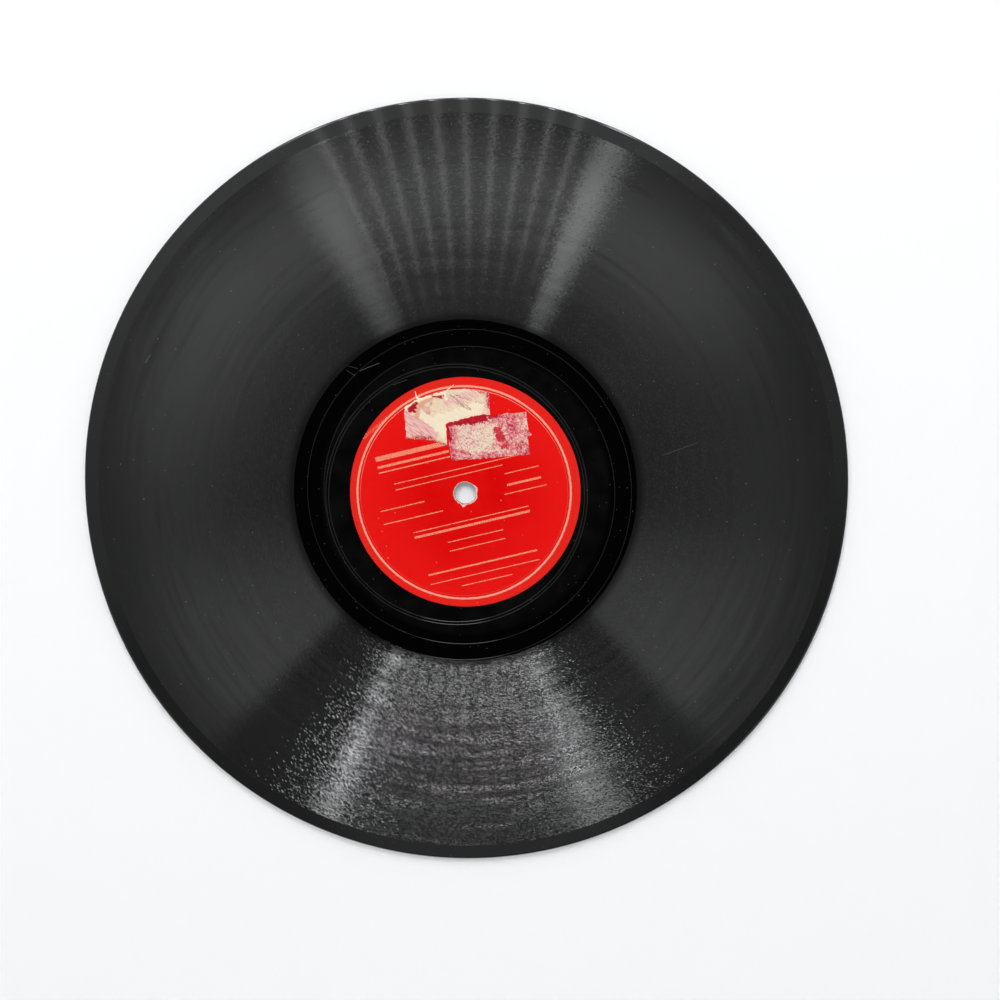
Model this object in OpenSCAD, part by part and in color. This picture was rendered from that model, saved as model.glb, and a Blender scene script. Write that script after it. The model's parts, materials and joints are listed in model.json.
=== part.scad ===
// Ten-inch laminated shellac record, lying flat with side A up.
// The origin is on the spindle axis, in the plane of side B's lands.
// +Z points out of side A, and +Y to the top of side A's label.
// Each shellac facing is a shallow dish: its lip closes half of the rim round a coarse core,
// and a paper sheet lies between each facing and the core.

/* [Disc] */
// Outside diameter of the disc
disc_d = 250.8; // [180:0.1:300]
// Thickness between the lands of the two sides
disc_t = 2.2; // [1.8:0.05:3.2]
// Radius that rounds the rim on each side
rim_r = 0.8; // [0.2:0.05:0.85]
// Depth of the V at the parting line round the rim
parting_v = 0.08; // [0.04:0.01:0.1]
// Diameter of the spindle hole
bore_d = 7.26; // [6.5:0.01:9]

/* [Layers] */
// Thickness of each facing at its lands
facing_t = 0.4; // [0.3:0.02:0.6]
// Width of the lip with which each facing closes the rim
lip_w = 1.6; // [0.9:0.1:3]
// Thickness of each paper sheet inside
sheet_t = 0.12; // [0.05:0.01:0.25]

/* [Labels] */
// Diameter of each label
label_d = 75.7; // [60:0.1:100]
// Thickness of each label
label_t = 0.12; // [0.08:0.01:0.16]
// How far a label's face lies below the lands
label_sink = 0.05; // [0.01:0.01:0.08]
// Clearance round a label in its pocket
label_gap = 0.05; // [0.02:0.01:0.2]

/* [Recorded band] */
// Width of the smooth margin between the rim and the first groove
margin_w = 4.75; // [3:0.05:8]
// Width of the smooth land between a label and the last groove
run_out_w = 18.4; // [12:0.1:24]
// Distance from one groove to the next
groove_pitch = 0.28; // [0.2:0.01:2]
// Width of a groove at the land
groove_w = 0.15; // [0.08:0.01:0.18]
// Depth of a groove
groove_depth = 0.06; // [0.03:0.005:0.1]

/* [Run-out] */
// Width of the run-out groove at the land
run_out_groove_w = 0.2; // [0.16:0.01:0.24]
// Depth of the run-out groove
run_out_groove_depth = 0.08; // [0.06:0.005:0.1]
// Half turns of the run-out spiral
run_out_half_turns = 4; // [2:1:8]
// Width of the trip groove at the land
trip_groove_w = 0.3; // [0.26:0.01:0.4]
// Depth of the trip groove
trip_groove_depth = 0.12; // [0.105:0.005:0.15]
// How far the trip groove's centre lies off the spindle axis
trip_offset = 3; // [1:0.1:4]
// Direction of that offset, from +X towards +Y
trip_angle = 185; // [0:1:359]
// Least land between the label and the inner trip groove
trip_land = 0.9; // [0.5:0.05:2]
// Distance between the two rings of the trip groove
trip_pair_gap = 0.95; // [0.5:0.05:1.5]

/* [Torn sticker] */
// Thickness of the sticker's paper
scrap_t = 0.08; // [0.06:0.01:0.2]
// Width of the red border that the sticker stops short of
label_border = 3.3; // [1:0.1:8]
// Width of the upper scrap
upper_scrap_w = 30; // [15:0.5:40]
// Height of the upper scrap
upper_scrap_h = 18.5; // [8:0.5:22]
// Left edge of the upper scrap, from the label's middle
upper_scrap_left = -15; // [-25:0.5:0]
// Width of the lower scrap
lower_scrap_w = 27.5; // [15:0.5:35]
// Height of the lower scrap
lower_scrap_h = 16; // [8:0.5:20]
// Left edge of the lower scrap, from the label's middle
lower_scrap_left = -2; // [-12:0.5:6]
// How far the lower scrap reaches up beside the upper one
scrap_overlap = 7.4; // [2:0.1:8]

/* [Hidden] */
$fn = 200;

shellac_black = [0.07, 0.07, 0.075];
core_grey = [0.2, 0.19, 0.18];
kraft_brown = [0.62, 0.48, 0.32];
label_red = [0.86, 0.06, 0.05];
torn_cream = [0.94, 0.87, 0.78];

disc_r = disc_d / 2;
bore_r = bore_d / 2;
label_r = label_d / 2;
half_t = disc_t / 2;

// Heights from the middle plane, the same on both sides
facing_floor = half_t - facing_t;
core_half_t = facing_floor - sheet_t;
label_face = half_t - label_sink;
pocket_floor = label_face - label_t;

pocket_r = label_r + label_gap;
core_r = disc_r - lip_w;
band_outer_r = disc_r - margin_w;
band_inner_r = label_r + run_out_w;
seam_r = band_inner_r + groove_pitch / 2;
band_grooves = floor((band_outer_r - band_inner_r) / groove_pitch);

trip_inner_r = pocket_r + trip_land + trip_groove_w / 2 + trip_offset;
trip_outer_r = trip_inner_r + trip_pair_gap;
trip_reach = trip_outer_r + trip_offset;
half_turn_drop = (band_inner_r - trip_reach) / run_out_half_turns;

scrap_limit_r = label_r - label_border;
upper_scrap_bottom = scrap_limit_r - upper_scrap_h;
lower_scrap_bottom = upper_scrap_bottom + scrap_overlap - lower_scrap_h;

// Torn outlines, as shares of each scrap's own width and height
upper_tear_shares = [
    [0.07, 1.1], [0.01, 0.32], [0.15, 0.3], [0.27, 0.22], [0.36, 0.13], [0.43, 0],
    [0.9, 0.3], [0.96, 0.39], [1, 0.75], [0.93, 1.1]
];
lower_tear_shares = [
    [0.05, 0.97], [0.23, 0.98], [0.4, 1], [0.67, 0.95], [0.98, 0.86], [0.96, 0.48], [1, 0.39],
    [0.96, 0.37], [0.93, 0.02], [0.43, 0.12], [0, 0.25], [0.03, 0.68]
];

// One V groove in half section, from the land down and up again
function groove_points(r) = [
    [r - groove_w / 2, half_t],
    [r, half_t - groove_depth],
    [r + groove_w / 2, half_t]
];

// The grooves of the recorded band outside the seam, from the middle outwards
function band_points() = [
    for (i = [1 : band_grooves])
        for (p = groove_points(band_inner_r + i * groove_pitch)) p
];

// Half section of a facing from the spindle hole to the first land of the band
module middle_section() {
    polygon(concat(
        [
            [bore_r, facing_floor],
            [bore_r, pocket_floor],
            [pocket_r, pocket_floor],
            [pocket_r, half_t]
        ],
        groove_points(band_inner_r),
        [
            [seam_r, half_t],
            [seam_r, facing_floor]
        ]
    ));
}

// Half section of the rest of a facing, with its grooves, round edge and lip
module band_section() {
    polygon(concat(
        [
            [seam_r, facing_floor],
            [seam_r, half_t]
        ],
        band_points(),
        [
            [disc_r - rim_r, half_t],
            [disc_r, half_t - rim_r],
            [disc_r, parting_v],
            [disc_r - parting_v, 0],
            [core_r, 0],
            [core_r, facing_floor]
        ]
    ));
    translate([disc_r - rim_r, half_t - rim_r])
        intersection() {
            circle(r = rim_r);
            square(rim_r);
        }
}

// Cutter for a V groove along an arc, carried on above the land to twice its width
module arc_groove(r, width, depth, arc = 360) {
    translate([0, 0, half_t])
        rotate_extrude(angle = arc)
            translate([r, 0])
                polygon([[0, -depth], [width, depth], [-width, depth]]);
}

// The run-out runs inwards in half turns, each about a centre half a step off the axis
module run_out_cut() {
    for (i = [0 : run_out_half_turns - 1]) {
        arc_r = band_inner_r - (i + 0.5) * half_turn_drop;
        rotate(trip_angle + 180 * i)
            translate([half_turn_drop / 2, 0])
                arc_groove(arc_r, run_out_groove_w, run_out_groove_depth, 180);
    }
}

// Two rings off the axis, the outer of which takes the run-out's end
module trip_cut() {
    rotate(trip_angle)
        translate([trip_offset, 0])
            for (r = [trip_inner_r, trip_outer_r]) arc_groove(r, trip_groove_w, trip_groove_depth);
}

// A facing above the middle plane
module facing() {
    color(shellac_black) {
        difference() {
            rotate_extrude() middle_section();
            run_out_cut();
            trip_cut();
        }
        rotate_extrude() band_section();
    }
}

// A flat ring between two heights, with the spindle hole through it
module bored_disc(r, bottom, top) {
    translate([0, 0, bottom])
        difference() {
            cylinder(r = r, h = top - bottom);
            translate([0, 0, bottom - top]) cylinder(r = bore_r, h = 3 * (top - bottom));
        }
}

// Puts what is drawn above the middle plane on side A or, turned over, on side B
module on_side_a() {
    translate([0, 0, half_t]) children();
}

module on_side_b() {
    translate([0, 0, half_t]) rotate([180, 0, 0]) children();
}

module paper_sheet() {
    color(kraft_brown) bored_disc(core_r, core_half_t, facing_floor);
}

module label() {
    color(label_red) bored_disc(label_r, pocket_floor, label_face);
}

// One torn outline in its own box, kept inside the label's border and off the spindle hole
module torn_outline(shares, left, bottom, width, height) {
    difference() {
        intersection() {
            translate([left, bottom]) polygon([for (p = shares) [p.x * width, p.y * height]]);
            circle(r = scrap_limit_r);
        }
        circle(r = bore_r + label_border);
    }
}

module upper_tear_outline() {
    torn_outline(upper_tear_shares, upper_scrap_left, upper_scrap_bottom, upper_scrap_w, upper_scrap_h);
}

module lower_tear_outline() {
    torn_outline(lower_tear_shares, lower_scrap_left, lower_scrap_bottom, lower_scrap_w, lower_scrap_h);
}

module core_disc() {
    color(core_grey) on_side_a() bored_disc(core_r, -core_half_t, core_half_t);
}

module side_a_paper_sheet() {
    on_side_a() paper_sheet();
}

module side_b_paper_sheet() {
    on_side_b() paper_sheet();
}

module side_a_facing() {
    on_side_a() facing();
}

module side_b_facing() {
    on_side_b() facing();
}

module side_a_label() {
    on_side_a() label();
}

module side_b_label() {
    on_side_b() label();
}

module upper_sticker_scrap() {
    color(torn_cream) on_side_a() translate([0, 0, label_face])
        linear_extrude(scrap_t)
            difference() {
                upper_tear_outline();
                lower_tear_outline();
            }
}

module lower_sticker_scrap() {
    color(torn_cream) on_side_a() translate([0, 0, label_face])
        linear_extrude(scrap_t) lower_tear_outline();
}

core_disc();
side_a_paper_sheet();
side_b_paper_sheet();
side_a_facing();
side_b_facing();
side_a_label();
side_b_label();
upper_sticker_scrap();
lower_sticker_scrap();
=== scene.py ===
"""Ten-inch laminated shellac record with red paper labels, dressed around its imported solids."""
import json
import math

import bmesh
import bpy
import numpy as np
from mathutils import Matrix, Vector, noise
from mathutils.geometry import delaunay_2d_cdt


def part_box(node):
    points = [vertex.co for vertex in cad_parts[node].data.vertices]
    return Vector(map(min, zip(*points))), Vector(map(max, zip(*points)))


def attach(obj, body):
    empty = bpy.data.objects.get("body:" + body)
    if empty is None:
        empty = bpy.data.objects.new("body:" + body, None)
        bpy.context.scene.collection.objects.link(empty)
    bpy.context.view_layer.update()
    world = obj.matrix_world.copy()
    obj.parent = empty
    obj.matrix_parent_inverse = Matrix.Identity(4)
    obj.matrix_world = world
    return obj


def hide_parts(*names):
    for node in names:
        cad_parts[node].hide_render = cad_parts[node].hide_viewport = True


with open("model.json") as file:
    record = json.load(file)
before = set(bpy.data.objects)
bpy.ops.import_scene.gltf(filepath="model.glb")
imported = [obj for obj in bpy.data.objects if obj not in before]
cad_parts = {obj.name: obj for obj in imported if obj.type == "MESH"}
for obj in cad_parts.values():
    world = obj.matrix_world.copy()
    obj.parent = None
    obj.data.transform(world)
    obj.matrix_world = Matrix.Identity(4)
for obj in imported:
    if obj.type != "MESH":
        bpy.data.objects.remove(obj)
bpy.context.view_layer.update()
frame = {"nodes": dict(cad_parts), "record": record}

MM = 0.001

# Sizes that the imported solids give; heights are counted from the middle plane
disc_low, disc_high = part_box("side_a_facing")
DISC_R = disc_high[0]
MIDDLE_Z = disc_low[2]
LAND = disc_high[2] - MIDDLE_Z
FACING_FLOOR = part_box("side_a_paper_sheet")[1][2] - MIDDLE_Z
CORE_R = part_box("core_disc")[1][0]
label_low, label_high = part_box("side_a_label")
LABEL_R = label_high[0]
LABEL_FLOOR = label_low[2] - MIDDLE_Z
LABEL_FACE = label_high[2] - MIDDLE_Z
SCRAP_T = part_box("upper_sticker_scrap")[1][2] - label_high[2]
BORE_R = next(m for m in frame["record"]["mounts"] if m["name"] == "spindle_hole")["dims"]["r_mm"] * MM

# Rim and recorded band
RIM_ROUND = 0.8 * MM
PARTING_V = 0.08 * MM
LABEL_GAP = 0.05 * MM
BAND_OUTER_R = DISC_R - 4.75 * MM
BAND_INNER_R = LABEL_R + 18.4 * MM
GROOVE_PITCH = 0.28 * MM
GROOVE_W = 0.15 * MM
GROOVE_DEPTH = 0.06 * MM

# Run-out spiral and the eccentric pair of trip grooves
RUN_OUT_TURNS = 1.88
RUN_OUT_W = 0.2 * MM
RUN_OUT_DEPTH = 0.08 * MM
TRIP_W = 0.3 * MM
TRIP_DEPTH = 0.12 * MM
TRIP_OFFSET = 3 * MM
TRIP_ANGLE = math.radians(185)
TRIP_INNER_R = LABEL_R + LABEL_GAP + 0.9 * MM + TRIP_W / 2 + TRIP_OFFSET
TRIP_OUTER_R = TRIP_INNER_R + 0.95 * MM
TRIP_REACH = TRIP_OUTER_R + TRIP_OFFSET + TRIP_W / 2

# Places on a face are millimetres from the axis, seen square on, with the label upright
RING_CENTRE = (-0.4, -0.05)
RING_R = 35.0
RING_W = 0.66
FINE_RING_R = 34.05

# Rules of the blank label: left end, right end, height and thickness
LABEL_RULES = (
    (-26.0, -2.0, 17.4, 1.5),
    (-26.0, -2.0, 14.6, 0.8),
    (-26.0, -2.0, 12.8, 0.4),
    (-22.0, 22.0, 8.2, 0.28),
    (-22.0, 14.0, 6.2, 0.28),
    (14.0, 25.4, 3.2, 0.3),
    (14.0, 25.4, -0.6, 0.7),
    (12.4, 26.6, -3.4, 0.3),
    (-28.5, -13.6, 0.4, 0.32),
    (-28.5, -8.5, -4.0, 0.32),
    (-19.7, 19.3, -10.6, 0.75),
    (-19.7, 19.3, -8.9, 0.3),
    (-9.4, 9.4, -14.6, 0.3),
    (-9.4, 9.4, -17.6, 0.3),
    (-18.2, 18.7, -23.8, 0.55),
    (-18.2, 18.7, -27.0, 0.3),
    (-8.2, 8.9, -29.8, 0.3),
)

# Torn paper left by a sticker, and the strips of it that stand up at its edge
UPPER_SCRAP = (
    (-12.8, 31.8), (-14.6, 21.9), (-11.2, 20.7), (-7.4, 19.6), (-4.6, 18.2), (-2.1, 16.2),
    (-0.9, 23.5), (5.5, 23.8), (11.0, 23.7), (13.8, 23.1), (15.1, 29.8), (12.4, 31.4),
    (7.5, 33.2), (2.4, 33.9), (-3.3, 33.7), (-8.4, 33.2),
)
LOWER_SCRAP = (
    (-0.7, 23.2), (3.8, 23.6), (9.1, 23.6), (13.6, 23.0), (16.3, 22.5), (25.5, 21.2), (24.8, 15.2),
    (25.5, 13.7), (24.3, 13.3), (23.5, 7.5), (9.8, 9.5), (-2.0, 11.5), (-1.2, 18.3),
)
CURL_PATH = ((-9.4, 27.8), (-8.9, 29.8), (-7.6, 31.3), (-6.2, 32.1), (-3.6, 32.6))
LIP_PATH = ((-12.6, 31.4), (-8.4, 32.9), (-3.3, 33.4), (1.4, 33.6))
WHISKERS = (
    ((-6.6, 32.9), (-7.9, 33.6), (-8.1, 34.8), (-8.0, 36.0)),
    ((1.3, 30.9), (0.8, 32.7), (2.2, 34.0), (4.7, 35.2)),
)

# How far the label was turned when the photograph was taken, against the clock
LABEL_TURN = math.radians(13.3)


class Value:
    """One output socket; arithmetic on it adds Math nodes to its tree."""

    def __init__(self, tree, socket):
        self.tree = tree
        self.socket = socket

    def math(self, operation, *others):
        return self.tree.node("ShaderNodeMath", {"operation": operation}, [self, *others])

    def __add__(self, other):
        return self.math("ADD", other)

    def __radd__(self, other):
        return self.math("ADD", other)

    def __sub__(self, other):
        return self.math("SUBTRACT", other)

    def __rsub__(self, other):
        return self.tree.node("ShaderNodeMath", {"operation": "SUBTRACT"}, [other, self])

    def __mul__(self, other):
        return self.math("MULTIPLY", other)

    def __rmul__(self, other):
        return self.math("MULTIPLY", other)

    def __truediv__(self, other):
        return self.math("DIVIDE", other)

    def __rtruediv__(self, other):
        return self.tree.node("ShaderNodeMath", {"operation": "DIVIDE"}, [other, self])

    def __pow__(self, other):
        return self.math("POWER", other)

    def __gt__(self, other):
        return self.math("GREATER_THAN", other)

    def __lt__(self, other):
        return self.math("LESS_THAN", other)

    def __or__(self, other):
        """The larger of two masks."""
        return self.math("MAXIMUM", other)


class Tree:
    """Adds nodes to a shader or geometry tree, settings first, then values or links."""

    def __init__(self, tree):
        self.tree = tree

    def node(self, kind, settings=None, inputs=(), output=0):
        """One new node; its sockets go by place, name or identifier, and one output comes back."""
        new = self.tree.nodes.new(kind)
        for name, value in (settings or {}).items():
            setattr(new, name, value)
        pairs = inputs.items() if isinstance(inputs, dict) else enumerate(inputs)
        for key, value in pairs:
            socket = self.socket(new.inputs, key)
            if isinstance(value, Value):
                self.tree.links.new(value.socket, socket)
            else:
                socket.default_value = value
        return Value(self, self.socket(new.outputs, output)) if new.outputs else None

    @staticmethod
    def socket(sockets, key):
        if isinstance(key, int):
            return sockets[key]
        return next(s for s in sockets if s.identifier == key or s.name == key and s.enabled)

    def separate(self, vector):
        node = self.node("ShaderNodeSeparateXYZ", inputs=[vector]).socket.node
        return [Value(self, out) for out in node.outputs]

    def combine(self, x, y, z):
        return self.node("ShaderNodeCombineXYZ", inputs=[x, y, z])

    def vector(self, operation, *inputs):
        return self.node("ShaderNodeVectorMath", {"operation": operation}, inputs)

    def scale(self, vector, factor):
        settings = {"operation": "SCALE"}
        return self.node("ShaderNodeVectorMath", settings, {"Vector": vector, "Scale": factor})

    def ramp(self, value, low, high, start=0.0, end=1.0):
        """Goes smoothly from start to end while value goes from low to high."""
        settings = {"interpolation_type": "SMOOTHSTEP"}
        return self.node("ShaderNodeMapRange", settings, [value, low, high, start, end])

    def blend(self, factor, one, other):
        """A colour between two others."""
        sockets = {"Factor_Float": factor, "A_Color": one, "B_Color": other}
        return self.node("ShaderNodeMix", {"data_type": "RGBA"}, sockets, "Result_Color")

    def noise(self, vector, scale, detail=2.0, roughness=0.5):
        sockets = {"Vector": vector, "Scale": scale, "Detail": detail, "Roughness": roughness}
        return self.node("ShaderNodeTexNoise", {"noise_dimensions": "3D"}, sockets)

    def picks(self, cell):
        """Three numbers from -1 to 1, each the same all over one cell."""
        colour = self.node("ShaderNodeTexWhiteNoise", {"noise_dimensions": "3D"}, [cell], "Color")
        return [part * 2 - 1 for part in self.separate(colour)]


def rgb(red, green, blue):
    """A linear colour with its alpha."""
    return (red, green, blue, 1.0)


class Finish(Tree):
    """One material: a node tree on Object coordinates that ends in Principled shaders."""

    def __init__(self, name):
        self.material = bpy.data.materials.new(name)
        self.material.use_nodes = True
        super().__init__(self.material.node_tree)
        self.tree.nodes.clear()
        self.place = self.node("ShaderNodeTexCoord", output="Object")
        self.x, self.y, self.z = self.separate(self.place)
        self.radius = (self.x * self.x + self.y * self.y) ** 0.5
        # 1 on side A and -1 on side B, so that each side's plan is seen from its own face
        self.up = self.ramp(self.z, MIDDLE_Z - 0.01 * MM, MIDDLE_Z + 0.01 * MM, -1.0, 1.0)
        self.plan_x = self.x / MM
        self.plan_y = self.y * self.up / MM
        self.plan = self.combine(self.plan_x, self.plan_y, self.up * 50)

    def streaked(self, turn, length, width):
        """Places on the face for noise that runs in streaks, turned by some degrees from X."""
        c = math.cos(math.radians(turn))
        s = math.sin(math.radians(turn))
        along = (self.plan_x * c + self.plan_y * s) / length
        across = (self.plan_y * c - self.plan_x * s) / width
        return self.combine(along, across, self.up * 50)

    def band(self, value, middle, width, soft=0.12):
        """1 where the value lies in a band round the middle."""
        off = (value - middle).math("ABSOLUTE")
        return self.ramp(off, (width - soft) / 2, (width + soft) / 2, 1.0, 0.0)

    def gap(self, start, end):
        """How far each place of the face is from a straight line between two places."""
        length = math.dist(start, end)
        way_x = (end[0] - start[0]) / length
        way_y = (end[1] - start[1]) / length
        from_x = self.plan_x - start[0]
        from_y = self.plan_y - start[1]
        along = (from_x * way_x + from_y * way_y).math("MAXIMUM", 0.0).math("MINIMUM", length)
        off_x = from_x - along * way_x
        off_y = from_y - along * way_y
        return (off_x * off_x + off_y * off_y) ** 0.5

    def line(self, start, end, width, soft=0.12):
        """1 on a straight line between two places of the face."""
        return self.band(self.gap(start, end), 0.0, width, soft)

    def tears(self, strokes, fray, grain=1.1):
        """1 on ragged strokes, each given by its start, end and width, whose edges wander by the fray."""
        wander = (self.noise(self.plan, grain, 5.0, 0.75) - 0.5) * fray
        torn = None
        for start, end, width in strokes:
            stroke = self.ramp(self.gap(start, end) + wander, width / 2 - 0.12, width / 2 + 0.12, 1.0, 0.0)
            torn = stroke if torn is None else torn | stroke
        return torn

    def specks(self, spacing, size, share):
        """1 on scattered specks, one for each cell of that spacing in that share of the cells."""
        settings = {"voronoi_dimensions": "2D"}
        near = self.node("ShaderNodeTexVoronoi", settings, {"Vector": self.plan, "Scale": 1 / spacing})
        pick = self.separate(Value(self, near.socket.node.outputs["Color"]))
        reach = size / spacing / 2 * (0.4 + pick[1])
        return self.ramp(near / reach, 0.7, 1.2, 1.0, 0.0) * (pick[0] < share)

    def attribute(self, name):
        """A number that the mesh keeps for each of its points."""
        return self.node("ShaderNodeAttribute", {"attribute_name": name}, output="Fac")

    def bump(self, height, depth):
        """A normal that follows a height from 0 to 1 over a real depth."""
        return self.node("ShaderNodeBump", inputs={"Strength": 1.0, "Distance": depth, "Height": height})

    def shader(self, **sockets):
        """A Principled shader with its sockets fed by their names, with _ for a space."""
        inputs = {name.replace("_", " "): value for name, value in sockets.items()}
        return self.node("ShaderNodeBsdfPrincipled", inputs=inputs)

    def close(self, surface):
        """Ends the tree with its surface and returns the material."""
        self.node("ShaderNodeOutputMaterial", inputs={"Surface": surface})
        return self.material


# Finishes

BLACK = rgb(0.0012, 0.0012, 0.0013)
DEEP_BLACK = rgb(0.0005, 0.0005, 0.0006)
DUST_AND_PAINTED_SPARKLE = rgb(0.16, 0.155, 0.15)
SHELLAC_IOR = 1.54
GLINT_LENGTH = 0.36
OUTWARD_LEAN = 0.2
INWARD_LEAN = 0.68
INWARD_SHARE = 0.6


def groove_finish():
    """Black shellac of the recorded band: each wall of the groove is a mirror all along the groove."""
    f = Finish("groove_shellac")
    angle = (f.y * f.up).math("ARCTAN2", f.x)
    track = ((f.radius - BAND_INNER_R) / GROOVE_PITCH + angle / math.tau).math("FLOOR")
    arc = angle * f.radius / MM
    cell = f.combine(track, (arc / GLINT_LENGTH).math("FLOOR"), f.up)
    outer_glint, inner_glint, pick = f.picks(cell)
    loudness = f.noise(f.combine(track * 0.11, arc * 0.025, f.up), 1.0, 3.0) - 0.5
    waver = f.noise(f.combine(track * 0.5, arc * 0.2, f.up), 1.0, 2.0) - 0.5
    across = f.combine(f.x / f.radius, f.y / f.radius, 0.0)
    along = f.combine(0.0 - f.y / f.radius, f.x / f.radius, 0.0)
    upright = f.combine(0.0, 0.0, f.up)
    dust = f.specks(spacing=4.5, size=0.35, share=0.16) * 0.45
    # Painted sparkle: pale specks in the colour of some groove cells, most near the inner part of the band,
    # stand in for glints of the grooves
    painted_sparkle_share = f.ramp(f.radius, 57 * MM, 60 * MM) * f.ramp(f.radius, 68 * MM, 104 * MM, 0.09, 0.02)
    grain = ((pick + 1) / 2) ** 4 * painted_sparkle_share
    scratch = f.line((65.7, -2.7), (77.3, -1.4), 0.25) | f.line((-89.0, 67.2), (-91.0, 65.2), 0.5)
    scratch = scratch * (f.up > 0.0) * 0.22
    # One pale grey serves for the real dust and scratches and for the painted sparkle
    colour = f.blend(dust | scratch | grain, BLACK, DUST_AND_PAINTED_SPARKLE)

    def wall(lean, swing, roughness):
        """A wall that leans from the axis, and swings along the groove by a share of its lean."""
        tilt = f.vector("ADD", f.scale(across, lean), f.scale(along, lean * swing))
        return f.shader(
            Base_Color=colour,
            Roughness=roughness,
            IOR=SHELLAC_IOR,
            Specular_IOR_Level=0.36,
            Anisotropic=1.0,
            Anisotropic_Rotation=0.25,
            Normal=f.vector("NORMALIZE", f.vector("ADD", upright, tilt)),
        )

    outward = wall(OUTWARD_LEAN + loudness * 0.05, waver * 0.03 + outer_glint ** 5 * 0.08, 0.092)
    sway = inner_glint * 0.036 + inner_glint ** 5 * (0.105 + loudness * 0.4)
    inward_roughness = f.ramp(f.radius, 64 * MM, 96 * MM, 0.118, 0.088)
    inward = wall(-INWARD_LEAN - loudness * 0.35, waver * 0.03 + sway, inward_roughness)
    land = f.shader(
        Base_Color=colour,
        Roughness=0.3,
        IOR=SHELLAC_IOR,
        Specular_IOR_Level=0.12,
        Normal=upright,
    )
    walls = f.node("ShaderNodeMixShader", inputs=[INWARD_SHARE, outward, inward])
    # The ends of the band play more quietly, so that more land shows there
    quiet = f.ramp(f.radius, BAND_INNER_R, BAND_INNER_R + 3.5 * MM, 0.75, 0.0)
    quiet = quiet + f.ramp(f.radius, BAND_OUTER_R - 22 * MM, BAND_OUTER_R, 0.0, 0.34)
    return f.close(f.node("ShaderNodeMixShader", inputs=[quiet, walls, land]))


def smooth_finish():
    """Black shellac of the lands, the run-out and the rim: a moulded gloss with dust and hairlines."""
    f = Finish("smooth_shellac")
    haze = f.noise(f.plan, 0.12, 3.0)
    hairs = f.ramp(f.noise(f.streaked(35, 9.0, 0.12), 1.0, 2.0), 0.68, 0.78)
    dust = f.specks(spacing=2.6, size=0.26, share=0.16)
    fine_scratches = (
        ((-28.1, 47.8), (-25.9, 45.4)),
        ((-14.3, 39.7), (-9.7, 40.2)),
        ((-28.2, 49.5), (-24.5, 47.4)),
    )
    marks = f.line((-23.9, 46.6), (-17.3, 47.5), 0.18) * 0.5
    for start, end in fine_scratches:
        marks = marks | f.line(start, end, 0.16) * 0.28
    marks = marks * (f.up > 0.0)
    # The land beside the label is a little paler in colour
    paler_by_label = f.ramp(f.radius, 46.0 * MM, 48.5 * MM, 0.011, 0.0) * f.ramp(haze, 0.3, 0.7, 0.5, 1.5)
    worn = dust * 0.3 | marks * 0.8 | hairs * 0.02 | paler_by_label
    return f.close(f.shader(
        Base_Color=f.blend(worn, DEEP_BLACK, DUST_AND_PAINTED_SPARKLE),
        Roughness=0.03 + haze * 0.03 + marks * 0.3 + hairs * 0.05,
        IOR=SHELLAC_IOR,
        Specular_IOR_Level=0.4,
    ))


def label_finish():
    """Red label paper: a printed ring and rules, chipped at the hole and rubbed at the edge."""
    f = Finish("label_paper")
    grain = f.noise(f.plan, 2.4, 4.0, 0.65)
    cloud = f.noise(f.plan, 0.07, 3.0)
    off_x = f.plan_x - RING_CENTRE[0]
    off_y = f.plan_y - RING_CENTRE[1]
    ring_r = (off_x * off_x + off_y * off_y) ** 0.5
    frayed_r = ring_r + (f.noise(f.plan, 0.9, 3.0) - 0.5) * 0.35
    ring = f.band(frayed_r, RING_R, RING_W, 0.2)
    fine_ring = f.band(frayed_r, FINE_RING_R, 0.22, 0.2) * f.ramp(f.plan_y, 0.0, 30.0, 0.1, 0.75)
    rules = None
    for left, right, height, thickness in LABEL_RULES:
        rule = f.band(f.plan_x, (left + right) / 2, right - left) * f.band(f.plan_y, height, thickness)
        rules = rule if rules is None else rules | rule
    worn_print = rules * f.ramp(grain, 0.36, 0.54, 0.3, 0.95)
    rubbed = f.line((-28.0, 25.2), (-19.2, 29.8), 0.9, 0.5) * f.ramp(grain, 0.45, 0.6) * 0.6
    nicks = f.specks(spacing=5.0, size=0.3, share=0.2) * 0.5
    bare = f.attribute("bare")
    border = f.ramp(ring_r, RING_R - 0.2, RING_R + 0.3)
    red = f.blend(f.ramp(ring_r, 11.0, 34.0), rgb(0.57, 0.0006, 0.0005), rgb(0.67, 0.006, 0.005))
    red = f.blend(border, red, rgb(0.65, 0.016, 0.01))
    red = f.blend(f.ramp(cloud, 0.35, 0.7) * 0.4, red, rgb(0.68, 0.007, 0.006))
    red = f.blend(f.band(ring_r, RING_R - 0.55, 0.3, 0.25) * 0.5, red, rgb(0.35, 0.001, 0.001))
    salmon = f.blend(grain, rgb(0.76, 0.17, 0.1), rgb(0.82, 0.34, 0.22))
    ring_ink = f.blend(grain, rgb(0.8, 0.18, 0.12), rgb(0.84, 0.36, 0.26))
    raw_paper = f.blend(f.ramp(grain, 0.35, 0.65), rgb(0.6, 0.2, 0.17), rgb(0.8, 0.66, 0.6))
    colour = f.blend(worn_print | rubbed | nicks, red, salmon)
    colour = f.blend(ring | fine_ring, colour, ring_ink)
    colour = f.blend(bare, colour, raw_paper)
    return f.close(f.shader(
        Base_Color=colour,
        Roughness=0.45 + grain * 0.2 + bare * 0.3,
        Specular_IOR_Level=0.03,
        Normal=f.bump(grain, 0.02 * MM),
    ))


CREAM = rgb(0.72, 0.57, 0.39)
CRIMSON = rgb(0.3, 0.003, 0.014)
GARNET = rgb(0.44, 0.006, 0.02)


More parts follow.
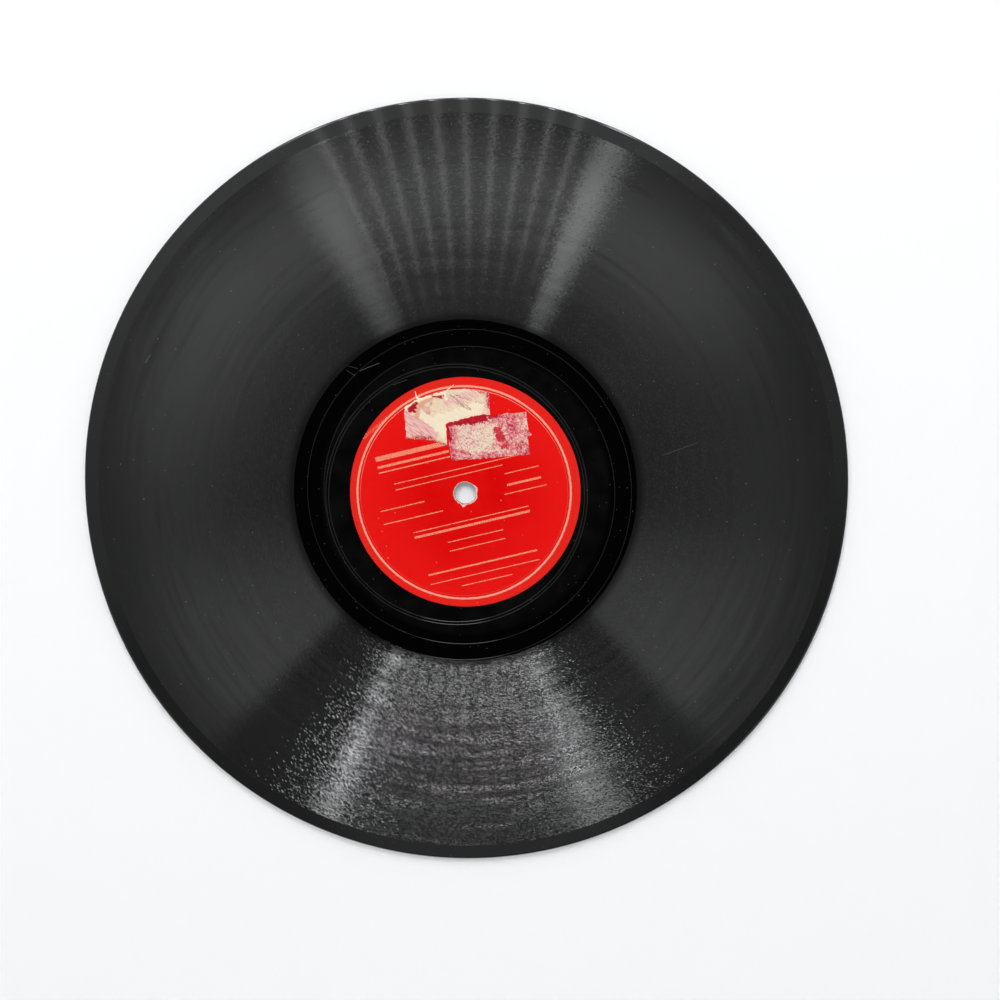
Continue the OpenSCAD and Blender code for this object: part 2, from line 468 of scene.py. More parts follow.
def upper_scrap_finish():
    """Torn backing paper: cream fibres in slanting streaks, lilac where only a thin layer is left."""
    f = Finish("torn_backing_paper")
    streak = f.noise(f.streaked(-48, 3.0, 0.5), 1.0, 4.0, 0.7)
    fine = f.noise(f.plan, 1.6, 3.0, 0.75)
    broad = f.noise(f.plan, 0.3, 3.0)
    colour = f.blend(f.ramp(streak * 0.7 + broad * 0.3, 0.5, 0.62), CREAM, rgb(0.66, 0.44, 0.36))
    colour = f.blend(f.ramp(fine * 0.6 + streak * 0.4, 0.53, 0.64) * 0.7, colour, rgb(0.44, 0.27, 0.23))
    pale = f.tears((((-4.5, 24.5), (10.5, 26.0), 4.2), ((-7.5, 27.5), (-2.0, 21.0), 3.0)), 6.0, 0.5)
    colour = f.blend(pale * 0.7, colour, rgb(0.78, 0.69, 0.51))
    thin = f.tears((((-13.6, 27.6), (-8.0, 21.5), 6.4), ((-12.5, 23.5), (-6.0, 20.5), 3.5)), 5.0, 0.8)
    lilac = f.blend(f.ramp(streak, 0.44, 0.6), rgb(0.73, 0.42, 0.39), rgb(0.56, 0.18, 0.22))
    colour = f.blend(thin * 0.8, colour, lilac)
    rosy = f.tears((((1.5, 30.0), (12.5, 31.0), 3.2), ((14.4, 30.5), (13.6, 24.5), 2.2)), 5.0, 0.6)
    colour = f.blend(rosy * f.ramp(streak, 0.4, 0.6), colour, rgb(0.68, 0.33, 0.35))
    bruises = (
        ((2.8, 31.9), (8.1, 26.3), 0.7),
        ((3.6, 32.3), (12.2, 27.2), 0.3),
        ((4.6, 29.0), (7.6, 26.6), 0.8),
        ((-5.6, 29.4), (-3.8, 31.2), 0.6),
        ((-5.4, 27.8), (-4.6, 28.6), 0.5),
    )
    bruised = f.tears(bruises, 3.4) * f.ramp(streak, 0.38, 0.55) * 0.7
    colour = f.blend(bruised, colour, rgb(0.32, 0.12, 0.13))
    inside_curl = f.tears((((-6.7, 30.6), (-5.6, 28.4), 1.5),), 2.6)
    colour = f.blend(inside_curl * f.ramp(streak, 0.34, 0.5) * 0.75, colour, rgb(0.62, 0.25, 0.25))
    colour = f.blend(f.ramp(f.attribute("curl"), 0.2, 0.8) * 0.9, colour, rgb(0.64, 0.3, 0.2))
    colour = f.blend(f.attribute("lip"), colour, rgb(0.8, 0.7, 0.5))
    holes = (
        ((-11.3, 30.8), (-8.6, 32.1), 1.2),
        ((-11.0, 30.4), (-9.6, 31.0), 1.7),
        ((-10.2, 30.4), (-9.8, 29.7), 0.9),
        ((-2.9, 33.0), (0.5, 32.5), 0.5),
        ((-1.2, 32.5), (-0.1, 31.9), 0.5),
    )
    edges = (
        ((-14.4, 21.8), (-11.2, 20.8), 1.6),
        ((-11.2, 20.8), (-7.2, 19.6), 2.6),
        ((-7.2, 19.6), (-2.2, 16.4), 1.5),
        ((14.8, 30.4), (14.0, 25.4), 1.5),
        ((12.2, 31.2), (14.6, 30.0), 1.1),
    )
    through = f.tears(holes, 2.0) | f.tears(edges, 5.0, 1.6) * f.ramp(fine, 0.42, 0.52)
    colour = f.blend(through, colour, f.blend(f.ramp(fine, 0.4, 0.6), CRIMSON, GARNET))
    return f.close(f.shader(
        Base_Color=colour,
        Roughness=0.85,
        Specular_IOR_Level=0.15,
        Normal=f.bump(fine * 0.5 + streak * 0.5, 0.12 * MM),
    ))


def lower_scrap_finish():
    """Torn sticker stock: a pale layer broken into specks over rose paper, with ragged holes."""
    f = Finish("torn_sticker_stock")
    fine = f.noise(f.plan, 1.25, 3.0, 0.8)
    grit = f.noise(f.plan, 1.8, 2.0, 0.8)
    broad = f.noise(f.plan, 0.35, 3.0)
    whole = f.tears((((3.6, 17.0), (11.5, 17.2), 6.5), ((6.5, 13.5), (10.5, 15.0), 3.4)), 7.0, 0.45)
    thin = f.line((-0.6, 22.5), (-1.4, 11.0), 4.6, 3.6)
    thin = thin | f.line((0.0, 10.2), (23.5, 7.6), 4.0, 3.5) * 0.7
    thin = thin | f.line((15.0, 21.8), (25.0, 20.5), 3.0, 2.5) * 0.7
    thin = thin | f.line((16.5, 13.0), (22.5, 11.5), 5.0, 4.5) * 0.6
    thin = thin | f.line((20.2, 19.4), (19.4, 15.6), 4.2, 3.6) * 1.15
    level = fine + (broad - 0.5) * 0.3 + whole * 0.07 - thin * 0.12
    colour = f.blend(f.ramp(level, 0.41, 0.5), rgb(0.65, 0.15, 0.18), rgb(0.68, 0.38, 0.33))
    colour = f.blend(f.ramp(level, 0.49, 0.59), colour, rgb(0.72, 0.59, 0.45))
    colour = f.blend(f.ramp(grit, 0.35, 0.48, 0.8, 0.0), colour, rgb(0.33, 0.17, 0.14))
    colour = f.blend(f.ramp(level, 0.3, 0.39, 1.0, 0.0), colour, rgb(0.4, 0.02, 0.05))
    patches = (((15.0, 17.6), (15.6, 14.8), 2.7), ((16.8, 12.4), (15.4, 12.0), 1.6))
    rims = (
        ((-0.9, 22.9), (3.2, 23.0), 1.2),
        ((3.2, 23.0), (7.0, 23.0), 2.4),
        ((7.0, 23.0), (11.5, 22.8), 3.2),
        ((11.5, 23.0), (15.6, 22.4), 1.4),
        ((-0.9, 22.9), (-0.9, 18.4), 1.5),
    )
    garnet = f.blend(f.ramp(fine, 0.42, 0.66), rgb(0.45, 0.008, 0.02), rgb(0.64, 0.06, 0.085))
    colour = f.blend(f.tears(patches, 5.0, 1.3) * f.ramp(grit, 0.26, 0.4), colour, garnet)
    colour = f.blend(f.tears(rims, 4.0, 0.9), colour, f.blend(f.ramp(fine, 0.4, 0.6), CRIMSON, GARNET))
    return f.close(f.shader(
        Base_Color=colour,
        Roughness=0.85,
        Specular_IOR_Level=0.15,
        Normal=f.bump(fine, 0.15 * MM),
    ))


def core_finish():
    """Coarse ground core: dark grey with pale mineral grains."""
    f = Finish("core_compound")
    grain = f.noise(f.scale(f.place, 1 / MM), 4.0, 4.0, 0.7)
    colour = f.blend(f.ramp(grain, 0.55, 0.7), rgb(0.012, 0.011, 0.011), rgb(0.09, 0.085, 0.08))
    return f.close(f.shader(
        Base_Color=colour,
        Roughness=0.6 + grain * 0.3,
        Normal=f.bump(grain, 0.05 * MM),
    ))


def kraft_finish():
    """Brown kraft paper between the core and the facings."""
    f = Finish("kraft_paper")
    fibre = f.noise(f.streaked(10, 2.0, 0.25), 1.0, 4.0, 0.6)
    return f.close(f.shader(
        Base_Color=f.blend(fibre, rgb(0.16, 0.095, 0.05), rgb(0.42, 0.28, 0.16)),
        Roughness=0.8 + fibre * 0.15,
        Normal=f.bump(fibre, 0.03 * MM),
    ))


# Making meshes

def add_piece(name, mesh, node):
    """Puts a finished mesh in the scene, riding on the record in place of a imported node."""
    piece = bpy.data.objects.new(name, mesh)
    bpy.context.scene.collection.objects.link(piece)
    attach(piece, "root")
    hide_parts(node)
    return piece


def turn_to_side(mesh, side):
    """Takes a mesh drawn above the middle plane to side A, or turned over to side B."""
    turn = Matrix.Rotation(math.pi, 4, "X") if side == "b" else Matrix.Identity(4)
    mesh.transform(Matrix.Translation((0.0, 0.0, MIDDLE_Z)) @ turn)


def smooth_by_angle(mesh, limit):
    """Shades a mesh smooth, apart from edges that turn by more than the limit."""
    work = bmesh.new()
    work.from_mesh(mesh)
    for face in work.faces:
        face.smooth = True
    for edge in work.edges:
        edge.smooth = len(edge.link_faces) == 2 and edge.calc_face_angle(0.0) < limit
    work.to_mesh(mesh)
    work.free()


def tidy_faces(mesh, merge=0.0):
    """Merges doubled points, if asked, and points every face outwards."""
    work = bmesh.new()
    work.from_mesh(mesh)
    if merge:
        bmesh.ops.remove_doubles(work, verts=work.verts, dist=merge)
    bmesh.ops.recalc_face_normals(work, faces=work.faces)
    work.to_mesh(mesh)
    work.free()


def point_attribute(mesh, name, values):
    """Keeps one number for each point of a mesh, for its finish to read."""
    layer = mesh.attributes.new(name, "FLOAT", "POINT")
    layer.data.foreach_set("value", np.asarray(values, dtype=np.float32))


def ring_mesh(name, rows, material, **attributes):
    """A closed ring through rows of points, each once round the axis; the last row meets the first."""
    rows = np.array(rows)
    count, columns = rows.shape[:2]
    index = np.arange(count * columns).reshape(count, columns)
    after = np.roll(index, -1, axis=0)
    quads = np.stack([index[:, :-1], index[:, 1:], after[:, 1:], after[:, :-1]], axis=-1).reshape(-1, 4)
    mesh = bpy.data.meshes.new(name)
    mesh.from_pydata(rows.reshape(-1, 3).tolist(), [], quads.tolist())
    for key, values in attributes.items():
        point_attribute(mesh, key, np.array(values).ravel())
    tidy_faces(mesh, merge=1e-7)
    mesh.materials.append(material)
    return mesh


def circle_row(radius, height, columns, centre=(0.0, 0.0)):
    """Points once round a circle, the last on the first; radius and height may be arrays."""
    angle = np.linspace(0.0, math.tau, columns)
    row = np.empty((columns, 3))
    row[:, 0] = centre[0] + radius * np.cos(angle)
    row[:, 1] = centre[1] + radius * np.sin(angle)
    row[:, 2] = height
    return row


def spiral_rows(inner, outer, turns, width, depth, columns):
    """Rows that follow a V groove inwards: edge, bottom and edge for each turn, with tapered ends."""
    taper_turns = 0.05
    share = np.linspace(0.0, 1.0, columns)
    pitch = (outer - inner) / turns
    rows = []
    for turn in range(math.ceil(turns) + 2):
        step = turn - share
        cut = np.clip(np.minimum(step, turns - step) / taper_turns, 0.0, 1.0)
        for part in (-1, 0, 1):
            radius = np.clip(inner + pitch * step + part * cut * width / 2, inner, outer)
            height = LAND - (part == 0) * cut * depth
            rows.append(circle_row(radius, height, columns))
    return rows


def run_out_mesh(material):
    """The middle of a facing: label pocket, trip grooves and run-out, up to the recorded band."""
    columns = 361
    centre = (TRIP_OFFSET, 0.0)
    pocket_r = LABEL_R + LABEL_GAP
    rows = [
        circle_row(BORE_R, FACING_FLOOR, columns),
        circle_row(BORE_R, LABEL_FLOOR, columns),
        circle_row(pocket_r, LABEL_FLOOR, columns),
        circle_row(pocket_r, LAND, columns),
    ]
    for radius in (TRIP_INNER_R, TRIP_OUTER_R):
        rows.append(circle_row(radius - TRIP_W / 2, LAND, columns, centre))
        rows.append(circle_row(radius, LAND - TRIP_DEPTH, columns, centre))
        rows.append(circle_row(radius + TRIP_W / 2, LAND, columns, centre))
    rows += spiral_rows(TRIP_REACH, BAND_INNER_R, RUN_OUT_TURNS, RUN_OUT_W, RUN_OUT_DEPTH, columns)
    rows.append(circle_row(BAND_INNER_R, FACING_FLOOR, columns))
    mesh = ring_mesh("run_out", rows, material)
    mesh.transform(Matrix.Rotation(TRIP_ANGLE, 4, "Z"))
    return mesh


def rim_mesh(material):
    """The outside of a facing: smooth margin, rounded edge, parting V and the lip round the core."""
    columns = 721
    flat_end_r = DISC_R - RIM_ROUND - 0.05 * MM
    rows = [
        circle_row(BAND_OUTER_R, FACING_FLOOR, columns),
        circle_row(BAND_OUTER_R, LAND, columns),
        circle_row(flat_end_r, LAND, columns),
    ]
    steps = 10
    for step in range(steps + 1):
        turn = math.pi / 2 * step / steps
        radius = DISC_R - RIM_ROUND + RIM_ROUND * math.sin(turn)
        height = LAND - RIM_ROUND + RIM_ROUND * math.cos(turn)
        rows.append(circle_row(radius, height, columns))
    rows.append(circle_row(DISC_R, PARTING_V, columns))
    rows.append(circle_row(DISC_R - PARTING_V, 0.0, columns))
    rows.append(circle_row(CORE_R, 0.0, columns))
    rows.append(circle_row(CORE_R, FACING_FLOOR, columns))
    return ring_mesh("rim", rows, material)


def groove_tree():
    """Geometry Nodes: a closed ring of a facing, with one spiral V groove cut in its land."""
    group = bpy.data.node_groups.new("spiral_grooves", "GeometryNodeTree")
    sizes = ("Inner Radius", "Outer Radius", "Land Height", "Floor Height",
             "Pitch", "Groove Width", "Groove Depth")
    for name in sizes:
        group.interface.new_socket(name, in_out="INPUT", socket_type="NodeSocketFloat")
    group.interface.new_socket("Segments", in_out="INPUT", socket_type="NodeSocketInt")
    group.interface.new_socket("Material", in_out="INPUT", socket_type="NodeSocketMaterial")
    group.interface.new_socket("Geometry", in_out="OUTPUT", socket_type="NodeSocketGeometry")
    t = Tree(group)
    entry = group.nodes.new("NodeGroupInput")
    given = {out.name: Value(t, out) for out in entry.outputs if out.name}
    inner, outer, land, floor, pitch, width, depth = (given[name] for name in sizes)

    turns = ((outer - inner) / pitch).math("ROUND")
    row_count = turns * 3 + 9
    grid = t.node("GeometryNodeMeshGrid", inputs={
        "Size X": 1.0, "Size Y": 1.0, "Vertices X": row_count, "Vertices Y": given["Segments"] + 1,
    })
    along_rows, along_columns, _ = t.separate(t.node("GeometryNodeInputPosition"))
    row = ((along_rows + 0.5) * (row_count - 1)).math("ROUND")
    share = along_columns + 0.5

    turn = ((row - 1) / 3).math("FLOOR")
    part = row - 1 - turn * 3
    step = turn - share
    edge_shift = (part - 1) * width / 2
    radius = (inner + pitch * step + edge_shift).math("MAXIMUM", inner).math("MINIMUM", outer)
    bottom = part.math("COMPARE", 1.0, 0.1)
    inside = (step > 0.0) * (step < turns)
    height = land - depth * bottom * inside

    at_inner_floor = (row < 0.5) + (row > row_count - 1.5)
    at_outer_floor = row.math("COMPARE", row_count - 2, 0.1)
    on_top = 1 - at_inner_floor - at_outer_floor
    radius = radius * on_top + inner * at_inner_floor + outer * at_outer_floor
    height = height * on_top + floor * (1 - on_top)

    angle = share * math.tau
    place = t.combine(radius * angle.math("COSINE"), radius * angle.math("SINE"), height)
    shaped = t.node("GeometryNodeSetPosition", inputs={"Geometry": grid, "Position": place})
    merged = t.node("GeometryNodeMergeByDistance", inputs={"Geometry": shaped, "Distance": 1e-7})
    real = t.node("GeometryNodeRealizeInstances", inputs=[merged])
    dressed = t.node("GeometryNodeSetMaterial", inputs={"Geometry": real, "Material": given["Material"]})
    t.node("NodeGroupOutput", inputs=[dressed])
    return group


def mesh_from_tree(name, group, inputs):
    """Runs a Geometry Nodes tree with its inputs set, and returns the plain mesh that it makes."""
    maker = bpy.data.objects.new(name, bpy.data.meshes.new(name))
    bpy.context.scene.collection.objects.link(maker)
    modifier = maker.modifiers.new(name, "NODES")
    modifier.node_group = group
    for item in group.interface.items_tree:
        if item.in_out == "INPUT":
            modifier[item.identifier] = inputs[item.name]
    graph = bpy.context.evaluated_depsgraph_get()
    mesh = bpy.data.meshes.new_from_object(maker.evaluated_get(graph))
    maker.modifiers.remove(modifier)
    bpy.data.objects.remove(maker)
    tidy_faces(mesh)
    return mesh


def groove_mesh(group, inner, outer, material):
    """One ring of the recorded band, with its part of the spiral groove."""
    return mesh_from_tree("grooves", group, {
        "Inner Radius": inner, "Outer Radius": outer, "Land Height": LAND, "Floor Height": FACING_FLOOR,
        "Pitch": GROOVE_PITCH, "Groove Width": GROOVE_W, "Groove Depth": GROOVE_DEPTH,
        "Segments": 256, "Material": material,
    })


def build_facings():
    """Both playing surfaces, each in four rings from the spindle hole to the rim."""
    grooved = groove_finish()
    smooth = smooth_finish()
    group = groove_tree()
    band_turns = round((BAND_OUTER_R - BAND_INNER_R) / GROOVE_PITCH)
    seam = BAND_INNER_R + GROOVE_PITCH * (band_turns // 2)
    for side in "ab":
        node = f"side_{side}_facing"
        meshes = {
            "run_out": run_out_mesh(smooth),
            "inner_grooves": groove_mesh(group, BAND_INNER_R, seam, grooved),
            "outer_grooves": groove_mesh(group, seam, BAND_OUTER_R, grooved),
            "rim": rim_mesh(smooth),
        }
        for part, mesh in meshes.items():
            turn_to_side(mesh, side)
            smooth_by_angle(mesh, math.radians(30))
            add_piece(f"side_{side}_{part}", mesh, node)


def label_mesh(material, chips, seed):
    """A label chipped round its hole; chips have a bearing, a reach (mm) and a width (degrees)."""
    columns = 361
    chip_depth = 0.06 * MM
    chip_slope = 0.05 * MM
    edge_round = 0.04 * MM
    usual_reach = 0.24
    least_reach = 0.08
    raggedness = 0.22
    angle = np.linspace(0.0, math.tau, columns)
    chipped = np.full(columns, usual_reach)
    for bearing, reach, width in chips:
        apart = (np.degrees(angle) - bearing + 180) % 360 - 180
        chipped += reach * np.exp(-(apart / width) ** 2)
    ragged = [noise.fractal((5 * math.cos(a), 5 * math.sin(a), seed + 0.5), 0.6, 2.0, 4) for a in angle]
    print_edge = BORE_R + np.maximum(chipped + raggedness * np.array(ragged), least_reach) * MM
    rows = [
        circle_row(BORE_R, LABEL_FLOOR, columns),
        circle_row(BORE_R, LABEL_FACE - chip_depth, columns),
        circle_row(print_edge - chip_slope, LABEL_FACE - chip_depth, columns),
        circle_row(print_edge, LABEL_FACE, columns),
        circle_row(LABEL_R - edge_round, LABEL_FACE, columns),
        circle_row(LABEL_R, LABEL_FACE - edge_round, columns),
        circle_row(LABEL_R, LABEL_FLOOR, columns),
    ]
    bare = np.repeat([[1.0], [1.0], [1.0], [0.0], [0.0], [0.0], [0.0]], columns, axis=1)
    return ring_mesh("label", rows, material, bare=bare)


def build_labels():
    """The two paper labels, each with its own chips round the hole."""
    paper = label_finish()
    chips = {
        "a": ((-113, 0.75, 13), (-40, 0.4, 22), (10, 0.5, 12), (170, 0.12, 25)),
        "b": ((60, 0.5, 18), (-150, 0.45, 12), (-70, 0.25, 30)),
    }
    for seed, side in enumerate("ab"):
        mesh = label_mesh(paper, chips[side], seed)
        turn_to_side(mesh, side)
        smooth_by_angle(mesh, math.radians(30))
        add_piece(f"side_{side}_paper_label", mesh, f"side_{side}_label")


def frayed(outline, step, depth, seed):
    """Walks round an outline in short steps and frays it, each time in the same way."""
    places = []
    for start, end in zip(outline, outline[1:] + outline[:1]):
        length = math.dist(start, end)
        count = max(1, round(length / step))
        out_x = (end[1] - start[1]) / length
        out_y = (start[0] - end[0]) / length
        for number in range(count):
            share = number / count
            x = start[0] + (end[0] - start[0]) * share
            y = start[1] + (end[1] - start[1]) * share
            fray = noise.noise((x * 0.8, y * 0.8, seed)) + 0.7 * noise.noise((x * 2.6, y * 2.6, seed))
            places.append((x + out_x * fray * depth, y + out_y * fray * depth))
    return np.array(places)


def inside_outline(places, outline):
    """Which places lie inside a closed outline, by counting its crossings to their right."""
    x, y = places[:, :1], places[:, 1:]
    x0, y0 = outline.T
    x1, y1 = np.roll(outline, -1, axis=0).T
    spans = (y0 > y) != (y1 > y)
    with np.errstate(divide="ignore", invalid="ignore"):
        crossing = x0 + (y - y0) / (y1 - y0) * (x1 - x0)
    return (spans & (x < crossing)).sum(axis=1) % 2 == 1


def gap_to_path(places, path):
    """How far each place is from a path of straight runs."""
    gaps = []
    for start, end in zip(path, path[1:]):
        start = np.array(start)
        run = np.array(end) - start
        share = np.clip((places - start) @ run / (run @ run), 0.0, 1.0)
        gaps.append(np.linalg.norm(places - start - share[:, None] * run, axis=1))
    return np.min(gaps, axis=0)


def torn_sheet(outline, seed, ridges, relief, streak_turn):
    """A torn scrap as points and faces in millimetres: a frayed net on top, walls and a flat underside."""
    edge_step = 0.3
    fray_depth = 0.28
    spacing = 0.36
    row_share = 0.87
    least_gap = 0.2
    thin_edge = 0.8
    least_height = 0.02
    edge = frayed(outline, edge_step, fray_depth, seed)
    low = edge.min(axis=0)
    high = edge.max(axis=0)
    net = [
        (x + (row % 2) * spacing / 2, y)
        for row, y in enumerate(np.arange(low[1], high[1], spacing * row_share))
        for x in np.arange(low[0], high[0], spacing)
    ]
    net = np.array(net)
    net = net[inside_outline(net, edge)]
    closest = np.array([np.min(np.linalg.norm(edge - place, axis=1)) for place in net])
    net = net[closest > least_gap]
    flat = [Vector(place) for place in np.concatenate([edge, net])]
    border = [(i, (i + 1) % len(edge)) for i in range(len(edge))]
    points, _, faces, _, _, _ = delaunay_2d_cdt(flat, border, [], 1, 1e-4)
    places = np.array([tuple(p) for p in points])

    margin = np.array([np.min(np.linalg.norm(edge - place, axis=1)) for place in places])
    rise = np.clip(margin / thin_edge, 0.0, 1.0)
    c = math.cos(math.radians(streak_turn))
    s = math.sin(math.radians(streak_turn))
    fibres = [
        noise.fractal(((x * c + y * s) * 0.4, (y * c - x * s) * 2.4, seed), 0.8, 2.0, 3)
        for x, y in places
    ]
    height = SCRAP_T / MM * (0.4 + 0.6 * rise) + relief * rise * np.array(fibres)
    masks = {}
    for name, (path, lift, width) in ridges.items():
        masks[name] = np.exp(-(gap_to_path(places, path) / width) ** 2)
        height = height + lift * masks[name]
    height = np.maximum(height, least_height)

    count = len(places)
    top = np.column_stack([places, height])
    under = np.column_stack([places, np.zeros(count)])
    walls = {}
    for face in faces:
        for one, other in zip(face, face[1:] + face[:1]):
            if walls.pop((other, one), None) is None:
                walls[one, other] = (other, one, one + count, other + count)
    all_faces = [tuple(face) for face in faces]
    all_faces += [tuple(i + count for i in reversed(face)) for face in faces]
    all_faces += list(walls.values())
    both_masks = {name: np.tile(mask, 2) for name, mask in masks.items()}
    return np.concatenate([top, under]), all_faces, both_masks


def paper_strip(path, first):
    """A thin torn strip that rises from its root and narrows to a tip; its faces count from first."""
    steps = 14
    thickness = 0.09
    root_half = 0.42
    tip_half = 0.06
    root_lift = 0.06
    tip_rise = 0.45
    path = np.array(path)
    share = np.linspace(0.0, len(path) - 1, steps)
    middle = np.column_stack([np.interp(share, range(len(path)), path[:, axis]) for axis in (0, 1)])
    way = np.gradient(middle, axis=0)
    way /= np.linalg.norm(way, axis=1)[:, None]
    points = []
    for number, (place, (way_x, way_y)) in enumerate(zip(middle, way)):
        along = number / (steps - 1)
        half = root_half * (1 - along) + tip_half + 0.08 * noise.noise((number * 0.9, 0.0, first))
        lift = root_lift + tip_rise * along * along
        for side, height in ((-1, 0.0), (1, 0.0), (1, thickness), (-1, thickness)):
            points.append((place[0] - way_y * half * side, place[1] + way_x * half * side, lift + height))
    faces = []
    for ring in range(steps - 1):
        for corner in range(4):
            after = (corner + 1) % 4
            here = ring * 4
            ahead = here + 4
            faces.append((here + corner, here + after, ahead + after, ahead + corner))
    last = (steps - 1) * 4
    faces += [(3, 2, 1, 0), (last, last + 1, last + 2, last + 3)]
    return np.array(points), [tuple(first + i for i in face) for face in faces]


def scrap_mesh(name, outline, seed, material, ridges, strips=(), relief=0.05, streak_turn=-48):
    """A scrap on the label of side A, with its torn strips."""
    points, faces, masks = torn_sheet(outline, seed, ridges, relief, streak_turn)
    for path in strips:
        more_points, more_faces = paper_strip(path, len(points))
        points = np.concatenate([points, more_points])
        faces += more_faces
        for key, mask in masks.items():
            masks[key] = np.append(mask, np.full(len(more_points), float(key == "lip")))
    points = points * MM
    points[:, 2] += MIDDLE_Z + LABEL_FACE
    mesh = bpy.data.meshes.new(name)
    mesh.from_pydata(points.tolist(), [], faces)
    for key, mask in masks.items():
        point_attribute(mesh, key, mask)
    tidy_faces(mesh)
    smooth_by_angle(mesh, math.radians(50))
    mesh.materials.append(material)
    return mesh


def build_scraps():
    """What is left of a paper sticker that was pulled off the label of side A, in two scraps."""
    ridges = {"curl": (CURL_PATH, 0.16, 0.9), "lip": (LIP_PATH, 0.1, 0.4)}
    backing = upper_scrap_finish()
    upper = scrap_mesh("upper_scrap", UPPER_SCRAP, 3.7, backing, ridges, WHISKERS)
    add_piece("upper_torn_scrap", upper, "upper_sticker_scrap")
    stock = lower_scrap_finish()
    lower = scrap_mesh("lower_scrap", LOWER_SCRAP, 9.2, stock, {}, relief=0.09, streak_turn=20)
    add_piece("lower_torn_scrap", lower, "lower_sticker_scrap")


def dress_inner_layers():
    """The layers that only show in the spindle hole's wall keep their solids."""
    core = core_finish()
    kraft = kraft_finish()
    layers = {"core_disc": core, "side_a_paper_sheet": kraft, "side_b_paper_sheet": kraft}
    for name, material in layers.items():
        data = frame["nodes"][name].data
        data.materials.clear()
        data.materials.append(material)


# Studio

def photo_to_part(vector):
    """Turns a direction or place in the photograph's upright into the part's own axes."""
    return Matrix.Rotation(-LABEL_TURN, 3, "Z") @ Vector(vector)


def way_to(azimuth, zenith):
    """The direction at an azimuth, counted in the photograph, and an angle from straight up."""
    turn = math.radians(azimuth)
    lean = math.radians(zenith)
    return photo_to_part((math.cos(turn) * math.sin(lean), math.sin(turn) * math.sin(lean), math.cos(lean)))


def build_camera():
    """The photograph's camera, fitted to the disc's outline, label and run-out."""
    data = bpy.data.cameras.new("camera")
    data.sensor_width = 36.0
    data.lens = 36.0
    data.clip_start = 0.01
    camera = bpy.data.objects.new("camera", data)
    bpy.context.scene.collection.objects.link(camera)
    right = photo_to_part((0.99996, 0.0, -0.00935))
    above = photo_to_part((-0.00097, 0.99463, -0.10347))
    back = right.cross(above).normalized()
    above = back.cross(right).normalized()
    place = photo_to_part((14.471 * MM, 31.686 * MM, 327.46 * MM)) + Vector((0.0, 0.0, MIDDLE_Z))
    turn = Matrix((right, above, back)).transposed().to_4x4()
    camera.matrix_world = Matrix.Translation(place) @ turn
    bpy.context.scene.camera = camera


def add_area(name, azimuth, zenith, width, height, power):
    """A soft light that looks at the disc's middle."""
    distance = 1.2
    data = bpy.data.lights.new(name, "AREA")
    data.shape = "RECTANGLE"
    data.size = width
    data.size_y = height
    data.energy = power
    light = bpy.data.objects.new(name, data)
    bpy.context.scene.collection.objects.link(light)
    away = way_to(azimuth, zenith)
    right = Vector((0.0, 0.0, 1.0)).cross(away).normalized()
    above = away.cross(right)
    place = Matrix((right, above, away)).transposed().to_4x4()
    light.matrix_world = Matrix.Translation(away * distance) @ place


def build_lights():
    """A fan of thin strip lamps behind the disc, brighter low down, and faint ones for the margin."""
    lamps = 10
    for number in range(lamps):
        azimuth = 73.7 + 4.85 * number
        add_area(f"strip_{number}", azimuth, zenith=46.0, width=0.015, height=0.53, power=0.14)
        add_area(f"low_strip_{number}", azimuth, zenith=51.8, width=0.016, height=0.25, power=0.42)
        rim_azimuth = 74.9 + 5.29 * number
        rim_zenith = 20.9 + 0.21 * number
        add_area(f"rim_strip_{number}", rim_azimuth, rim_zenith, width=0.012, height=0.08, power=0.0027)


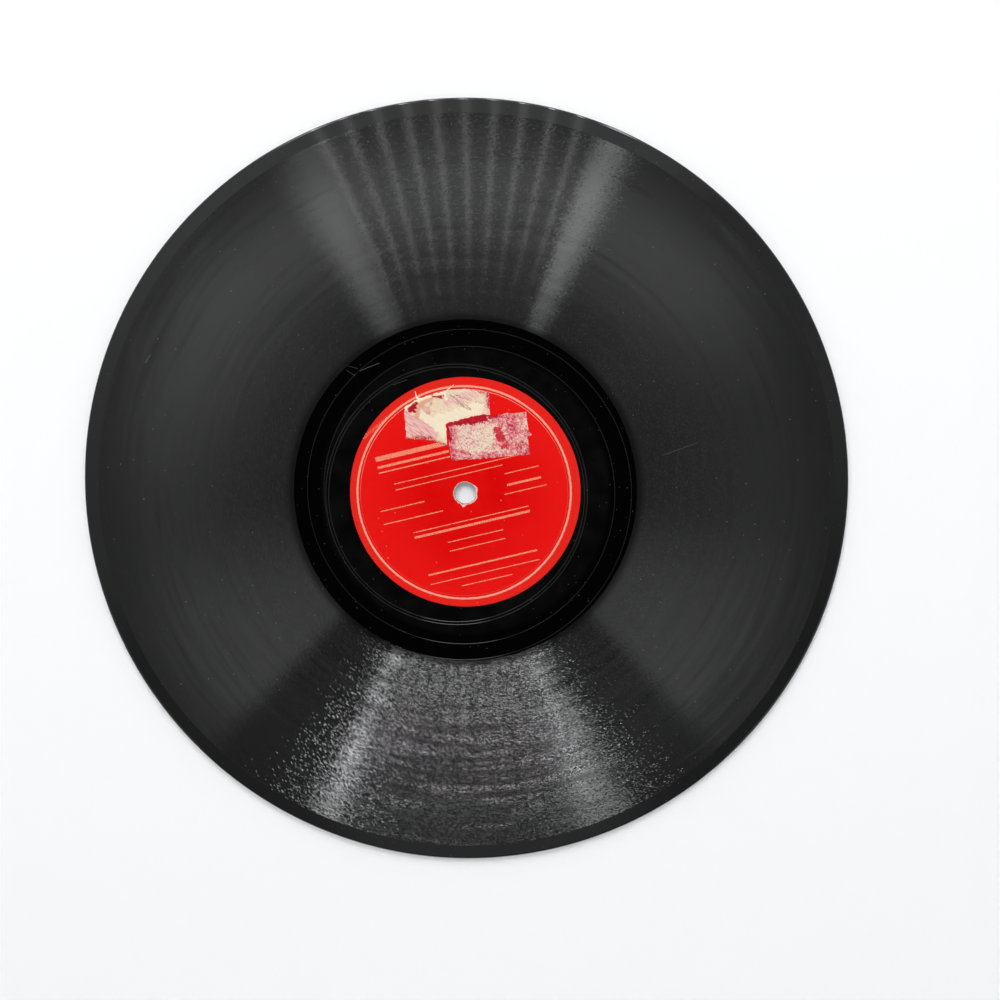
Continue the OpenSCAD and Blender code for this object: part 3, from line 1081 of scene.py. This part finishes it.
def build_world():
    """A pale room with windows round the lamps; the camera looks in through a dark opening."""
    degree = 180 / math.pi
    world = bpy.data.worlds.new("pale_room")
    bpy.context.scene.world = world
    world.use_nodes = True
    t = Tree(world.node_tree)
    world.node_tree.nodes.clear()
    way = t.node("ShaderNodeTexCoord", output="Generated")

    def nearness(azimuth, zenith):
        """The cosine of the angle between each way into the room and one direction."""
        aim = way_to(azimuth, zenith)
        return t.node("ShaderNodeVectorMath", {"operation": "DOT_PRODUCT"}, [way, aim], "Value")

    azimuth = nearness(90, 90).math("ARCTAN2", nearness(0, 90)) * degree
    from_top = nearness(0, 90).math("ARCTAN2", nearness(90, 90)) * degree
    off_sight = nearness(245, 5.6).math("ARCCOSINE") * degree

    def between(angle, start, full, fade, end):
        """1 where an angle lies between full and fade, and nothing before start or past end."""
        return t.ramp(angle, start, full) * t.ramp(angle, fade, end, 1.0, 0.0)

    def window(bearing, drop):
        """A patch of light between bearings, and between angles from the mirrored line of sight."""
        return between(azimuth, *bearing) * between(off_sight, *drop)

    opening = t.ramp(off_sight, 12, 19, 0.01, 1.0)
    shade = window((-134.5, -129.5, -56.5, -51.5), (28, 31, 45, 50))
    left_corner = between(azimuth, -160, -143, -118, -104) * 0.38
    right_corner = between(azimuth, -82, -64, -40, 0) * 0.42
    rim_shade = between(off_sight, 15, 18, 22, 25) * (0.12 + (left_corner + right_corner))
    sides = t.ramp(nearness(0, 90).math("ABSOLUTE"), 0.25, 0.45)
    round_shade = between(off_sight, 27, 30.5, 33, 36) * 0.55 + between(off_sight, 54, 59, 62, 66) * 0.45
    side_shade = between(off_sight, 39.5, 42.5, 45, 48) * sides * 0.22
    inner_shade = round_shade * (1 + sides * 0.35) + side_shade
    walls = 0.66 * (1 - rim_shade - inner_shade) + t.ramp(off_sight, 64, 80, 0.0, 0.4)
    sill = between(from_top, -115, -55, 28, 52) * between(off_sight, 15, 19, 23, 27) * 0.47
    shelf = between(off_sight, 36, 38.5, 39.5, 43) * (0.4 + between(from_top, -112, -58, 39, 85) * 4.4)
    left_glow = window((120, 128, 140, 152), (45, 49, 55, 60)) * 0.22
    corner_drop = (27, 31, 38, 43)
    corners = window((-172, -138, -133, -126), corner_drop) + window((-62, -50, -44, -10), corner_drop)
    right_window = window((60.5, 67.5, 69, 72), (30.5, 35.5, 43, 46)) * 9.6
    left_window = window((117.5, 122.5, 124, 131), (29.5, 34.5, 40, 44)) * 5.6
    right_low_window = window((63.5, 66.5, 67.5, 70.5), (44, 48, 53, 61)) * 34.0
    left_low_window = window((112, 117.5, 119.5, 126), (43, 47, 53, 59)) * 12.5
    far_window = window((72, 82, 102, 112), (64, 67.5, 74, 80)) * 4.2
    windows = right_window + left_window + right_low_window + left_low_window + far_window
    light = (walls + sill + shelf + left_glow + corners * 1.8 + windows) * (1 - shade * 0.97) * opening
    tint = rgb(0.98, 0.99, 1.0)
    room = t.node("ShaderNodeBackground", inputs={"Color": tint, "Strength": light})
    t.node("ShaderNodeOutputWorld", inputs={"Surface": room})


def build_floor():
    """A plain pale floor just below the disc."""
    half = 12.0
    level = -0.05 * MM
    mesh = bpy.data.meshes.new("floor")
    corners = [(x * half, y * half, level) for x, y in ((-1, -1), (1, -1), (1, 1), (-1, 1))]
    mesh.from_pydata(corners, [], [(0, 1, 2, 3)])
    floor = bpy.data.objects.new("floor", mesh)
    bpy.context.scene.collection.objects.link(floor)
    f = Finish("pale_floor")
    mesh.materials.append(f.close(f.shader(Base_Color=rgb(0.82, 0.825, 0.835), Roughness=0.8)))


build_camera()
build_facings()
build_labels()
build_scraps()
dress_inner_layers()
build_lights()
build_world()
build_floor()
bpy.context.scene.view_settings.view_transform = "Standard"
